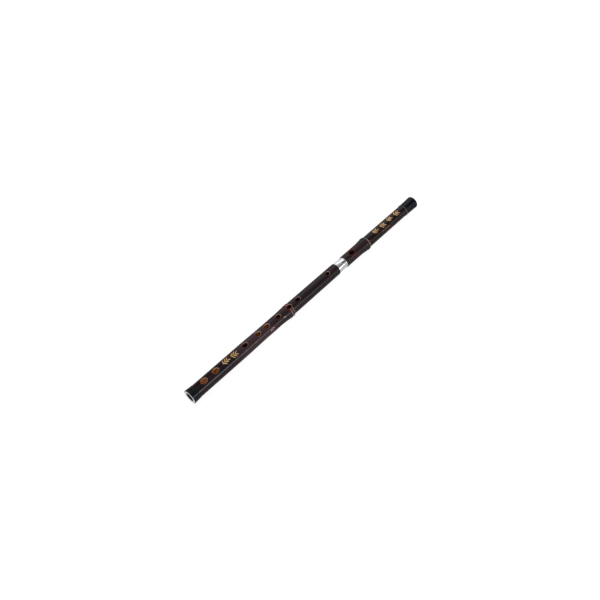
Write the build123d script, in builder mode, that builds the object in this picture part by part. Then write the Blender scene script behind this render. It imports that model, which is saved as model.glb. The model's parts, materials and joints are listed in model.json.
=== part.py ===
"""Bamboo flute in two sections, played sideways, with a metal socket joint.

The bore lies along X. X = 0 is the open mouth at the foot, X grows towards the head, and the
blow hole, membrane hole and finger holes open along +Z. All sizes are in millimetres.
"""

import os
from math import cos, radians, sin

from build123d import *

os.makedirs("parts", exist_ok=True)

# --- bore and fits -------------------------------------------------------------------------
BORE_R = 8.5  # one straight bore runs through both sections
GLUE_GAP = 0.05  # radial room for glue between a piece and its seat
SLIDE_GAP = 0.05  # radial running clearance of the tenon in the socket
STOP_GAP = 0.3  # axial room where the closed joint meets its shoulder
CORK_GAP = 0.05  # radial clearance of the stopper, which is squeezed into the bore

# --- hole layout, each place measured from the one before it --------------------------------
FOOT_MARGIN = 32.3  # foot mouth to the first pitch hole
PITCH_STEP = 25.4  # first to second pitch hole
HAND_GAP = 67.4  # second pitch hole to the first finger hole
FINGER_STEPS = (30.6, 21.3, 28.1, 28.5, 22.2)  # finger hole to finger hole
MEMBRANE_GAP = 80.7  # sixth finger hole to the membrane hole
SOCKET_MARGIN = 24.9  # membrane hole to the body's upper end
EMBOUCHURE_MARGIN = 20.7  # head shoulder to the blow hole
HEAD_REACH = 194.7  # blow hole to the head's end face

# --- holes: length along the bore, width across it -------------------------------------------
PITCH_HOLE = (12.4, 9.6)
FINGER_HOLE = (11.5, 9.0)
MEMBRANE_HOLE = (9.0, 8.2)
BLOW_HOLE = (11.6, 9.2)
TASSEL_HOLE_R = 2.6  # two round holes on the underside, for the cord of a tassel
TASSEL_MARGIN = 24.0
TASSEL_STEP = 21.0

# --- bamboo walls, measured from the bore to the outside ---------------------------------------
FOOT_WALL = 3.5  # from the foot sleeve to the second pitch hole
WAIST_WALL = 3.0  # just below the body's node
UPPER_WALL = 3.45  # just above the body's node
SOCKET_END_WALL = 3.1  # at the body's upper end
HEAD_WALL = 3.0  # at the head's shoulder and above its node
HEAD_TOP_WALL = 2.85  # where the head sleeve starts
WAIST_LENGTH = 50.0  # the taper from the foot's wall to the waist's
TAPER_START = 6.0  # ahead of the first finger hole, where that taper starts
NODE_RIDGE_WALL = 4.8  # a node's ridge, the scar of the leaf sheath
NODE_FLARE = 24.0  # how far the stem swells before a ridge
NODE_DROP = 7.0  # how fast it falls back after the ridge
RIDGE_WIDTH = 1.8
RIDGE_ROUND = 0.35  # how far the ridge's edges lie below its crown
BODY_NODE_OFFSET = -4.0  # the body's ridge, from the fifth finger hole
HEAD_NODE_OFFSET = 39.7  # the head's ridge, from the blow hole

# --- metal joint -------------------------------------------------------------------------------
BAND_LENGTH = 22.9  # the stretch of socket that shows between the two bamboo sections
SOCKET_EMBED = 14.0  # how deep the socket is set into the body
SOCKET_WALL = 0.5
TENON_WALL = 0.5
TENON_SPIGOT_WALL = 0.84  # bamboo left under the tenon's sheath
BEAD_R = 0.5  # rolled bead at the socket's mouth
MEETING_CHAMFER = 0.5  # eases both bore edges where the two sections meet

# --- end sleeves -------------------------------------------------------------------------------
SPIGOT_WALL = 2.1  # bamboo left under an end sleeve
SLEEVE_LIP = 3.0  # depth of the closed lip beyond the bamboo's end
LIP_RING_DEPTH = 1.2
LIP_RING_MARGIN = 0.95  # black rim left round the ring
FOOT_SLEEVE_LENGTH = 14.2
FOOT_SLEEVE_STEP = 0.5  # how far the sleeve stands above the bamboo
FOOT_SLEEVE_FLARE = 0.85  # how far its rim stands above that
HEAD_SLEEVE_LENGTH = 33.0
HEAD_SLEEVE_STEP = 0.4
HEAD_SLEEVE_FLARE = 0.9
SLEEVE_BEAD = 0.3  # height of the raised bead at the head sleeve's lower edge
SLEEVE_BEAD_WIDTH = 2.4
RIM_ROUND = 0.4

# --- stopper and painted carving ---------------------------------------------------------------
STOPPER_GAP = 14.5  # blow hole to the cork's face
STOPPER_LENGTH = 22.0
STOPPER_CHAMFER = 0.6
CARVING_DEPTH = 0.25
LEAF_LENGTH = 8.0
LEAF_WIDTH = 2.1
STEM_WIDTH = 0.8
LEAF_STAGGER = 0.4  # how far along the stem one leaf of a pair sits past the other
STEM_LENGTH = 9.0
STEM_LEAN = 8.0  # degrees, the stem's slant to the bore
FOOT_SPRAYS = 2
HEAD_SPRAYS = 4
FOOT_SPRAY_STEP = 18.2  # from one spray of leaves to the next
HEAD_SPRAY_STEP = 21.7
FOOT_SPRAY_MARGIN = 20.9  # second pitch hole to the first foot spray
HEAD_SPRAY_MARGIN = 30.6  # head's node to the first head spray

# --- places worked out from the sizes above ------------------------------------------------------
pitch_x = [FOOT_MARGIN, FOOT_MARGIN + PITCH_STEP]
finger_x = [pitch_x[1] + HAND_GAP]
for step in FINGER_STEPS:
    finger_x.append(finger_x[-1] + step)
membrane_x = finger_x[-1] + MEMBRANE_GAP
body_end = membrane_x + SOCKET_MARGIN
shoulder_x = body_end + BAND_LENGTH + STOP_GAP
blow_x = shoulder_x + EMBOUCHURE_MARGIN
head_end = blow_x + HEAD_REACH
tassel_x = [TASSEL_MARGIN, TASSEL_MARGIN + TASSEL_STEP]
body_node_x = finger_x[4] + BODY_NODE_OFFSET
head_node_x = blow_x + HEAD_NODE_OFFSET
head_sleeve_x = head_end - HEAD_SLEEVE_LENGTH

foot_r = BORE_R + FOOT_WALL
waist_r = BORE_R + WAIST_WALL
upper_r = BORE_R + UPPER_WALL
socket_end_r = BORE_R + SOCKET_END_WALL
head_r = BORE_R + HEAD_WALL
head_top_r = BORE_R + HEAD_TOP_WALL
ridge_r = BORE_R + NODE_RIDGE_WALL
foot_step_r = foot_r + FOOT_SLEEVE_STEP
foot_rim_r = foot_step_r + FOOT_SLEEVE_FLARE
head_step_r = head_top_r + HEAD_SLEEVE_STEP
head_rim_r = head_step_r + HEAD_SLEEVE_FLARE
spigot_r = BORE_R + SPIGOT_WALL
sleeve_seat_r = spigot_r + GLUE_GAP
tenon_spigot_r = BORE_R + TENON_SPIGOT_WALL
tenon_in_r = tenon_spigot_r + GLUE_GAP
tenon_out_r = tenon_in_r + TENON_WALL
socket_in_r = tenon_out_r + SLIDE_GAP
socket_out_r = socket_in_r + SOCKET_WALL
socket_seat_r = socket_out_r + GLUE_GAP
socket_floor = body_end - SOCKET_EMBED
tenon_tip = socket_floor + STOP_GAP
cutter_reach = 2 * ridge_r  # far enough to pass any wall


def node_swelling(x, below_r, above_r):
    """Draw the outline of one node: a slow flare, a rounded ridge, a quick drop."""
    foot_of_ridge = ridge_r - RIDGE_ROUND
    Spline(
        (x - NODE_FLARE, below_r),
        (x - NODE_FLARE / 2, below_r + 0.22 * (ridge_r - below_r)),
        (x - RIDGE_WIDTH / 2, foot_of_ridge),
        tangents=[(1, 0), (1, 0.25)],
    )
    ThreePointArc(
        (x - RIDGE_WIDTH / 2, foot_of_ridge),
        (x, ridge_r),
        (x + RIDGE_WIDTH / 2, foot_of_ridge),
    )
    Spline(
        (x + RIDGE_WIDTH / 2, foot_of_ridge),
        (x + NODE_DROP, above_r),
        tangents=[(1, -0.5), (1, 0)],
    )


def oval_holes(holes):
    """Draw oval tone holes, each given as its place along the bore and its (length, width)."""
    for x, size in holes:
        with Locations((x, 0)):
            Ellipse(size[0] / 2, size[1] / 2)


def body_outline():
    """Outside of the body section, from the foot spigot to the socket's mouth."""
    waist_start = finger_x[0] - TAPER_START
    Line((SLEEVE_LIP, BORE_R), (SLEEVE_LIP, spigot_r))
    Line((SLEEVE_LIP, spigot_r), (FOOT_SLEEVE_LENGTH, spigot_r))
    Line((FOOT_SLEEVE_LENGTH, spigot_r), (FOOT_SLEEVE_LENGTH, foot_r))
    Line((FOOT_SLEEVE_LENGTH, foot_r), (waist_start, foot_r))
    Spline(
        (waist_start, foot_r),
        (waist_start + WAIST_LENGTH, waist_r),
        tangents=[(1, 0), (1, 0)],
    )
    Line((waist_start + WAIST_LENGTH, waist_r), (body_node_x - NODE_FLARE, waist_r))
    node_swelling(body_node_x, waist_r, upper_r)
    Line((body_node_x + NODE_DROP, upper_r), (body_end, socket_end_r))
    Line((body_end, socket_end_r), (body_end, BORE_R))
    Line((body_end, BORE_R), (SLEEVE_LIP, BORE_R))


def head_outline():
    """Outside of the head section, from the tenon's tip to the head spigot."""
    spigot_end = head_end - SLEEVE_LIP
    eased = (tenon_tip + MEETING_CHAMFER, BORE_R)
    Line(eased, (tenon_tip, BORE_R + MEETING_CHAMFER))
    Line((tenon_tip, BORE_R + MEETING_CHAMFER), (tenon_tip, tenon_spigot_r))
    Line((tenon_tip, tenon_spigot_r), (shoulder_x, tenon_spigot_r))
    Line((shoulder_x, tenon_spigot_r), (shoulder_x, head_r))
    Line((shoulder_x, head_r), (head_node_x - NODE_FLARE, head_r))
    node_swelling(head_node_x, head_r, head_r)
    Line((head_node_x + NODE_DROP, head_r), (head_sleeve_x, head_top_r))
    Line((head_sleeve_x, head_top_r), (head_sleeve_x, spigot_r))
    Line((head_sleeve_x, spigot_r), (spigot_end, spigot_r))
    Line((spigot_end, spigot_r), (spigot_end, BORE_R))
    Line((spigot_end, BORE_R), eased)


def leaf_outline(x, y, angle):
    """One bamboo leaf: a lens of two arcs that starts at (x, y) and points along angle."""
    along = Vector(cos(radians(angle)), sin(radians(angle)))
    across = Vector(-along.Y, along.X)
    start = Vector(x, y)
    tip = start + along * LEAF_LENGTH
    belly = start + along * (0.42 * LEAF_LENGTH)
    ThreePointArc(start, belly + across * (LEAF_WIDTH / 2), tip)
    ThreePointArc(tip, belly - across * (LEAF_WIDTH / 2), start)


def spray_leaves(x, turn):
    """Root (x, y) and direction of each leaf, in pairs along the stem, with one at its tip.

    turn is 1 or -1 and mirrors the spray across the bore's upper line.
    """
    lean = radians(STEM_LEAN)
    leaves = []
    for along, spread in ((-0.38, 52), (0.04, 44), (0.42, 30)):
        root_x = x + along * STEM_LENGTH * cos(lean)
        root_y = turn * along * STEM_LENGTH * sin(lean)
        leaves.append((root_x, root_y, STEM_LEAN * turn + spread))
        leaves.append((root_x + LEAF_STAGGER, root_y, STEM_LEAN * turn - spread))
    return leaves


def leaf_spray(x, turn, surface_r):
    """Three pairs of leaves on a stem, cut out of the outermost skin of a section of this radius."""
    with BuildPart() as spray:
        with BuildSketch(Plane.XY):
            for leaf in spray_leaves(x, turn):
                with BuildLine():
                    leaf_outline(*leaf)
                make_face()
            with Locations(Location((x, 0, 0), turn * STEM_LEAN)):
                SlotOverall(STEM_LENGTH, STEM_WIDTH)
        extrude(amount=cutter_reach)
        with BuildSketch(Plane.YZ.offset(x - 2 * LEAF_LENGTH)):
            Circle(surface_r)
            Circle(surface_r - CARVING_DEPTH, mode=Mode.SUBTRACT)
        extrude(amount=4 * LEAF_LENGTH, mode=Mode.INTERSECT)
    return spray.part


def save(piece, name):
    """Label a finished piece and write it as its own STEP file."""
    piece.label = name
    export_step(piece, f"parts/{name}.step")


# --- painted carving: gold leaves that lie flush in the bamboo ------------------------------------
foot_spray_x = [pitch_x[1] + FOOT_SPRAY_MARGIN + FOOT_SPRAY_STEP * i for i in range(FOOT_SPRAYS)]
head_spray_x = [head_node_x + HEAD_SPRAY_MARGIN + HEAD_SPRAY_STEP * i for i in range(HEAD_SPRAYS)]


def head_radius(x):
    """Outside radius of the head's straight taper above its node."""
    taper_start = head_node_x + NODE_DROP
    share = (x - taper_start) / (head_sleeve_x - taper_start)
    return head_r + share * (head_top_r - head_r)


foot_leaves = [leaf_spray(x, (-1) ** i, foot_r) for i, x in enumerate(foot_spray_x)]
head_leaves = [leaf_spray(x, (-1) ** i, head_radius(x)) for i, x in enumerate(head_spray_x)]

# --- body section ------------------------------------------------------------------------------------
with BuildPart() as body_tube:
    with BuildSketch(Plane.XZ):
        with BuildLine():
            body_outline()
        make_face()
    revolve(axis=Axis.X)
    with BuildSketch(Plane.YZ.offset(socket_floor)):
        Circle(socket_seat_r)
    extrude(amount=SOCKET_EMBED, mode=Mode.SUBTRACT)
    bore_edges = body_tube.edges().filter_by(GeomType.CIRCLE).filter_by(lambda e: e.radius < BORE_R + GLUE_GAP)
    chamfer(bore_edges.sort_by(Axis.X)[-1], MEETING_CHAMFER)
    with BuildSketch(Plane.XY):
        oval_holes([(x, PITCH_HOLE) for x in pitch_x])
        oval_holes([(x, FINGER_HOLE) for x in finger_x])
        oval_holes([(membrane_x, MEMBRANE_HOLE)])
    extrude(amount=cutter_reach, mode=Mode.SUBTRACT)
    with BuildSketch(Plane.XY):
        with Locations([(x, 0) for x in tassel_x]):
            Circle(TASSEL_HOLE_R)
    extrude(amount=-cutter_reach, mode=Mode.SUBTRACT)
    for leaves in foot_leaves:
        add(leaves, mode=Mode.SUBTRACT)
save(body_tube.part, "body_tube")

# --- head section ------------------------------------------------------------------------------------
with BuildPart() as head_tube:
    with BuildSketch(Plane.XZ):
        with BuildLine():
            head_outline()
        make_face()
    revolve(axis=Axis.X)
    with BuildSketch(Plane.XY):
        oval_holes([(blow_x, BLOW_HOLE)])
    extrude(amount=cutter_reach, mode=Mode.SUBTRACT)
    for leaves in head_leaves:
        add(leaves, mode=Mode.SUBTRACT)
save(head_tube.part, "head_tube")

# --- metal joint ---------------------------------------------------------------------------------------
with BuildPart() as socket_sleeve:
    with BuildSketch(Plane.XZ):
        with BuildLine():
            mouth = body_end + BAND_LENGTH
            bead_start = mouth - 2 * BEAD_R
            Polyline(
                (bead_start, socket_out_r),
                (socket_floor, socket_out_r),
                (socket_floor, socket_in_r),
                (mouth, socket_in_r),
                (mouth, socket_out_r),
            )
            ThreePointArc(
                (mouth, socket_out_r),
                (mouth - BEAD_R, socket_out_r + BEAD_R),
                (bead_start, socket_out_r),
            )
        make_face()
    revolve(axis=Axis.X)
save(socket_sleeve.part, "socket_sleeve")

with BuildPart() as tenon_sheath:
    with BuildSketch(Plane.YZ.offset(tenon_tip)):
        Circle(tenon_out_r)
        Circle(tenon_in_r, mode=Mode.SUBTRACT)
    extrude(amount=shoulder_x - GLUE_GAP - tenon_tip)
save(tenon_sheath.part, "tenon_sheath")

# --- end sleeves and their metal lip rings ---------------------------------------------------------------
foot_ring_r = foot_rim_r - LIP_RING_MARGIN
head_ring_r = head_rim_r - LIP_RING_MARGIN

with BuildPart() as foot_sleeve:
    with BuildSketch(Plane.XZ):
        with BuildLine():
            Polyline(
                (FOOT_SLEEVE_LENGTH, foot_step_r),
                (FOOT_SLEEVE_LENGTH, sleeve_seat_r),
                (SLEEVE_LIP, sleeve_seat_r),
                (SLEEVE_LIP, BORE_R),
                (LIP_RING_DEPTH, BORE_R),
                (LIP_RING_DEPTH, foot_ring_r + GLUE_GAP),
                (0, foot_ring_r + GLUE_GAP),
                (0, foot_rim_r - RIM_ROUND),
            )
            rim_top = (RIM_ROUND, foot_rim_r)
            TangentArc((0, foot_rim_r - RIM_ROUND), rim_top, tangent=(0, 1))
            Spline(rim_top, (FOOT_SLEEVE_LENGTH, foot_step_r), tangents=[(1, -0.1), (1, 0)])
        make_face()
    revolve(axis=Axis.X)
save(foot_sleeve.part, "foot_sleeve")

with BuildPart() as head_sleeve:
    with BuildSketch(Plane.XZ):
        with BuildLine():
            bead_end = head_sleeve_x + SLEEVE_BEAD_WIDTH
            ring_floor = head_end - LIP_RING_DEPTH
            spigot_top = head_end - SLEEVE_LIP
            ThreePointArc(
                (head_sleeve_x, head_step_r),
                ((head_sleeve_x + bead_end) / 2, head_step_r + SLEEVE_BEAD),
                (bead_end, head_step_r),
            )
            rim_top = (head_end - RIM_ROUND, head_rim_r)
            Spline((bead_end, head_step_r), rim_top, tangents=[(1, 0), (1, 0.08)])
            TangentArc((head_end, head_rim_r - RIM_ROUND), rim_top, tangent=(0, 1))
            Polyline(
                (head_end, head_rim_r - RIM_ROUND),
                (head_end, head_ring_r + GLUE_GAP),
                (ring_floor, head_ring_r + GLUE_GAP),
                (ring_floor, BORE_R),
                (spigot_top, BORE_R),
                (spigot_top, sleeve_seat_r),
                (head_sleeve_x, sleeve_seat_r),
                (head_sleeve_x, head_step_r),
            )
        make_face()
    revolve(axis=Axis.X)
save(head_sleeve.part, "head_sleeve")


def lip_ring(name, start, outer_r):
    """The metal washer set flush in a sleeve's end face."""
    with BuildPart() as ring:
        with BuildSketch(Plane.YZ.offset(start)):
            Circle(outer_r)
            Circle(BORE_R, mode=Mode.SUBTRACT)
        extrude(amount=LIP_RING_DEPTH)
    save(ring.part, name)


lip_ring("foot_lip_ring", 0, foot_ring_r)
lip_ring("head_lip_ring", head_end - LIP_RING_DEPTH, head_ring_r)

# --- stopper that closes the bore beyond the blow hole ---------------------------------------------------
with BuildPart() as head_stopper:
    with BuildSketch(Plane.YZ.offset(blow_x + STOPPER_GAP)):
        Circle(BORE_R - CORK_GAP)
    extrude(amount=STOPPER_LENGTH)
    chamfer(head_stopper.edges().filter_by(GeomType.CIRCLE), STOPPER_CHAMFER)
save(head_stopper.part, "head_stopper")

# --- gold paint in the carved leaves ------------------------------------------------------------------------
with BuildPart() as foot_leaf_paint:
    for leaves in foot_leaves:
        add(leaves)
save(foot_leaf_paint.part, "foot_leaf_paint")

with BuildPart() as head_leaf_paint:
    for leaves in head_leaves:
        add(leaves)
save(head_leaf_paint.part, "head_leaf_paint")
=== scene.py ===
# %% [markdown]
# # A two-section bamboo flute
# This lesson dresses a finished mechanical model of a transverse bamboo flute. The mechanical
# model, called the frame, already holds every piece at its true size and knows how the joint
# slides and turns. Here we add what the eye wants: grown bamboo with its nodes, filed tone
# holes, lacquer, polished horn, turned nickel silver, painted leaves, and a small studio.
# Everything is in metres. The bore lies along X, and the tone holes open upwards along Z.

# %% Load the frame
import json
import math

import bmesh
import bpy
from mathutils import Matrix, Vector


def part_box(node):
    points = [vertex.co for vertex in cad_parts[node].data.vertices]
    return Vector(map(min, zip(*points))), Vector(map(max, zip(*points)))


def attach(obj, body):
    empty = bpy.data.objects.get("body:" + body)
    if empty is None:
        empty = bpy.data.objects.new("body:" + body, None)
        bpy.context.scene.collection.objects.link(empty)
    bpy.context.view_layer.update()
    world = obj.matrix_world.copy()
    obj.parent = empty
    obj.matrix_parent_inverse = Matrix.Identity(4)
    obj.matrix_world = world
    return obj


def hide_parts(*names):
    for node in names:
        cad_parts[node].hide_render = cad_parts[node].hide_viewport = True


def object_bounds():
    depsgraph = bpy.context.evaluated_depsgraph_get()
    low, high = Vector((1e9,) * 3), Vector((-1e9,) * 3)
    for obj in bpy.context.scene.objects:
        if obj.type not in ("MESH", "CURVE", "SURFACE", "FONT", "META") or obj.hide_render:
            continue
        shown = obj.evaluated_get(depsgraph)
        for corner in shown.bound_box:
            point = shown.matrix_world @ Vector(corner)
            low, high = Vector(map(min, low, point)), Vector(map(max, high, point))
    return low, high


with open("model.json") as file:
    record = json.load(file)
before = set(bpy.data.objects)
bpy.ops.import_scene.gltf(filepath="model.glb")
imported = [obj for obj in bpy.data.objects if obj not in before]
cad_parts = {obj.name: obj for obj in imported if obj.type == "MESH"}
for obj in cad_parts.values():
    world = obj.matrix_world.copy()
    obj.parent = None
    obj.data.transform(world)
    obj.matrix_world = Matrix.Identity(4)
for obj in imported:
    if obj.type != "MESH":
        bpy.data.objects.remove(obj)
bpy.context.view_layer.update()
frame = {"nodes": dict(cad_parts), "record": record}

MM = 0.001
nodes = frame["nodes"]
mounts = {mount["name"]: mount for mount in frame["record"]["mounts"]}
print("CAD pieces:", sorted(nodes))

# %% [markdown]
# ## Sizes that come from the frame
# A flute is a chain of fits, so nothing here is placed by eye. The ends of each section, the
# bore and the seats are read from the frame. The tone holes are found on the bore wall: the only
# points of a drilled section that lie on the bore above its axis are the edges of the holes, so
# a break of more than a few millimetres between neighbours separates one hole from the next.

# %% Read the places of the pieces
bore_r = mounts["foot_bore"]["dims"]["r_mm"] * MM


def span(node):
    """Start and end of a CAD piece along the bore."""
    low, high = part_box(node)
    return low.x, high.x


body_start, body_end = span("body_tube")
tenon_tip, head_tube_end = span("head_tube")
foot_sleeve_end = span("foot_sleeve")[1]
head_sleeve_start, head_end = span("head_sleeve")
socket_floor, socket_mouth = span("socket_sleeve")
FIT = 0.05 * MM
shoulder_x = span("tenon_sheath")[1] + FIT
print(f"body {body_start / MM:.1f} to {body_end / MM:.1f} mm, head to {head_end / MM:.1f} mm")

# %% Find the tone holes
BREAK_BETWEEN_HOLES = 4 * MM


def holes_on_bore(node, side):
    """Oval holes of a CAD section as dicts of place and half sizes. side is 1 above, -1 below."""
    edge = []
    for vertex in nodes[node].data.vertices:
        x, y, z = vertex.co
        on_bore = abs(math.hypot(y, z) - bore_r) < 0.02 * MM
        if on_bore and z * side > 0 and abs(y) < 0.65 * bore_r:
            edge.append((x, y))
    edge.sort()
    groups = []
    for point in edge:
        if not groups or point[0] - groups[-1][-1][0] > BREAK_BETWEEN_HOLES:
            groups.append([])
        groups[-1].append(point)
    holes = []
    for group in groups:
        xs = [x for x, y in group]
        across = max(abs(y) for x, y in group)
        if max(xs) - min(xs) > 3 * MM:
            centre, half = (max(xs) + min(xs)) / 2, (max(xs) - min(xs)) / 2
            holes.append({"x": centre, "a": half, "b": across, "side": side})
    return holes


body_holes = holes_on_bore("body_tube", 1)
head_holes = holes_on_bore("head_tube", 1)
tassel_holes = [
    {"x": m["pos_m"][0], "a": m["dims"]["r_mm"] * MM, "b": m["dims"]["r_mm"] * MM, "side": -1}
    for name, m in mounts.items()
    if name.startswith("tassel")
]
for hole in body_holes + head_holes + tassel_holes:
    node = "head_tube" if hole in head_holes else "body_tube"
    near = [v.co for v in nodes[node].data.vertices if abs(v.co.x - hole["x"]) < hole["a"]]
    hole["skin"] = max(math.hypot(co.y, co.z) for co in near)
    size = f"{2 * hole['a'] / MM:.1f} by {2 * hole['b'] / MM:.1f} mm"
    print(f"hole at {hole['x'] / MM:6.1f} mm, {size}")

# from the foot: two pitch holes, six finger holes, the membrane hole
second_pitch_x, first_finger_x, fifth_finger_x = (body_holes[i]["x"] for i in (1, 2, 6))
blow_hole_x = head_holes[0]["x"]

# %% [markdown]
# ## Node trees written as formulas
# Both materials and Geometry Nodes are networks of small sums. Clicking them together is slow to
# read back, so a tiny class wraps an output socket and overloads the operators: `1 - mask * 0.5`
# then adds the Math nodes by itself. Every other node comes from one method, `add`.

# %% A value in a node tree
class Wire:
    """One output socket of a tree, which can be added, multiplied and so on."""

    def __init__(self, tree, socket):
        self.tree = tree
        self.socket = socket

    def maths(self, operation, *values):
        made = self.tree.add("ShaderNodeMath", {"operation": operation}, dict(enumerate(values)))
        return made["Value"]

    def __add__(self, other):
        return self.maths("ADD", self, other)

    def __sub__(self, other):
        return self.maths("SUBTRACT", self, other)

    def __rsub__(self, other):
        return self.maths("SUBTRACT", other, self)

    def __mul__(self, other):
        return self.maths("MULTIPLY", self, other)

    def __truediv__(self, other):
        return self.maths("DIVIDE", self, other)

    def __pow__(self, other):
        return self.maths("POWER", self, other)

    def __mod__(self, other):
        return self.maths("FLOORED_MODULO", self, other)

    __radd__ = __add__
    __rmul__ = __mul__

    def clamped(self):
        return self.maths("MINIMUM", self.maths("MAXIMUM", self, 0.0), 1.0)

    def steps(self):
        return self.maths("FLOOR", self)

    def sine(self):
        return self.maths("SINE", self)

    def cosine(self):
        return self.maths("COSINE", self)

    def root(self):
        return self.maths("SQRT", self)

    def size(self):
        return self.maths("ABSOLUTE", self)

    def bell(self, centre, width):
        """1 at the centre, falling smoothly to 0 about two widths away."""
        away = (self - centre) / width
        return self.maths("EXPONENT", away * away * -1.0)

    def ramp(self, start, end):
        """0 up to start, 1 from end on, and smooth in between."""
        t = ((self - start) / (end - start)).clamped()
        return t * t * (3.0 - t * 2.0)


class Tree:
    """A node tree and the one method that puts nodes in it."""

    def __init__(self, node_tree):
        self.node_tree = node_tree

    def add(self, kind, settings=None, inputs=None):
        """Make a node: its settings first, then the value or link of each socket."""
        node = self.node_tree.nodes.new(kind)
        for key, value in (settings or {}).items():
            setattr(node, key, value)
        for key, value in (inputs or {}).items():
            socket = self.find_input(node, key)
            for one in value if isinstance(value, list) else [value]:
                if isinstance(one, Wire):
                    self.node_tree.links.new(one.socket, socket)
                else:
                    socket.default_value = one
        return {output.name: Wire(self, output) for output in node.outputs if output.enabled}

    @staticmethod
    def find_input(node, key):
        """The input with this number, or the one in use with this name."""
        if isinstance(key, int):
            return node.inputs[key]
        return next(socket for socket in node.inputs if socket.name == key and socket.enabled)

    def vector(self, x, y, z):
        return self.add("ShaderNodeCombineXYZ", None, {"X": x, "Y": y, "Z": z})["Vector"]

    def parts(self, vector):
        split = self.add("ShaderNodeSeparateXYZ", None, {"Vector": vector})
        return split["X"], split["Y"], split["Z"]


print("formula helper ready")

# %% [markdown]
# ## Turned pieces and drilled tubes share one mesh
# Every part of a flute is round about the bore. So one routine sweeps a closed outline, a list
# of (x, radius) rows, round the X axis and joins the last row to the first, which always gives
# a closed tube. A bamboo section needs oval holes in it as well. Cutting them with a boolean
# leaves ragged triangles that spoil the lacquer's shine. Here the grid leaves out a window of
# cells at each hole on the skin and on the bore, and rings of quads lead from the window to the
# hole's edge, over a rounded rim, and down the wall.

# %% Sweep rows round the bore
def surface_point(x, radius, angle):
    """A point at this angle from straight up, turning towards -Y."""
    return Vector((x, -radius * math.sin(angle), radius * math.cos(angle)))


def add_ring_faces(bm, outer, inner):
    """Quads between two closed loops of the same length."""
    count = len(outer)
    for i in range(count):
        j = (i + 1) % count
        bm.faces.new((outer[i], outer[j], inner[j], inner[i]))


def finish_mesh(bm, name, sharp_degrees=40):
    """Close seams, point the faces outwards, and shade smooth except at sharp corners."""
    bmesh.ops.remove_doubles(bm, verts=bm.verts, dist=1e-6)
    bmesh.ops.recalc_face_normals(bm, faces=bm.faces)
    mesh = bpy.data.meshes.new(name)
    bm.to_mesh(mesh)
    bm.free()
    mesh.shade_smooth()
    mesh.set_sharp_from_angle(angle=math.radians(sharp_degrees))
    piece = bpy.data.objects.new(name, mesh)
    bpy.context.scene.collection.objects.link(piece)
    return piece


def turned(name, outline, columns=160):
    """A solid of revolution about the bore from a closed outline of (x, radius) points."""
    bm = bmesh.new()
    rows = []
    for x, radius in outline:
        angles = [math.tau * c / columns for c in range(columns)]
        rows.append([bm.verts.new(surface_point(x, radius, a)) for a in angles])
    for row, following in zip(rows, rows[1:] + rows[:1]):
        add_ring_faces(bm, row, following)
    return finish_mesh(bm, name)


# %% Drill oval holes
COLUMNS = 96
STOCK_WALL = 3.5 * MM
RIM_ROUND = 0.85 * MM
BORE_EASE = 0.25 * MM
RIM_CUT = (0.05, 0.65, 1.0, 1.0)
# painted shade: how much of the pale cut colour is taken off the foot's side of each hole
FOOT_SIDE_PAINTED_SHADE = 0.80
WALL_STEPS = 5
WINDOW_RINGS = 7


def window_of(hole, xs, columns):
    """Rows and columns of the grid window round a hole, with room for its rim."""
    margin = 2.2 * MM
    first = max(i for i, x in enumerate(xs) if x < hole["x"] - hole["a"] - margin)
    last = min(i for i, x in enumerate(xs) if x > hole["x"] + hole["a"] + margin)
    half_angle = math.asin(min(0.96, (hole["b"] + 1.2 * MM) / bore_r))
    reach = math.ceil(half_angle / math.tau * columns)
    centre = 0 if hole["side"] > 0 else columns // 2
    return first, last, centre, reach


def window_border(window):
    """The window's border as (row, column) pairs, in order round it."""
    first, last, centre, reach = window
    border = [(first, centre + c) for c in range(-reach, reach)]
    border += [(r, centre + reach) for r in range(first, last)]
    border += [(last, centre + c) for c in range(reach, -reach, -1)]
    border += [(r, centre - reach) for r in range(last, first, -1)]
    return border


def hole_directions(border, window, xs):
    """For each border point, the direction on the oval that it leads to."""
    first, last, centre, reach = window
    half_x = (xs[last] - xs[first]) / 2
    middle = (xs[last] + xs[first]) / 2
    directions = []
    for row, column in border:
        along = (xs[row] - middle) / half_x
        across = (column - centre) / reach
        directions.append(math.atan2(across, along))
    return directions


def oval_loop(hole, directions, grow, radius):
    """Points on the oval grown by this much, at this radius of the stock, with their angle.

    The angle is worked out for the radius that the skin has there once it is grown.
    """
    loop = []
    turn = 0.0 if hole["side"] > 0 else math.pi
    grown = bore_r + (radius - bore_r) * (hole["skin"] - bore_r) / STOCK_WALL
    for direction in directions:
        x = hole["x"] + (hole["a"] + grow) * math.cos(direction)
        across = (hole["b"] + grow) * math.sin(direction)
        loop.append((x, radius, turn + math.asin(across / grown)))
    return loop


def blend_loops(start, end, share):
    """A loop part of the way from start to end, each point in (x, radius, angle)."""
    return [tuple(a + share * (b - a) for a, b in zip(p, q)) for p, q in zip(start, end)]


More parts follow.
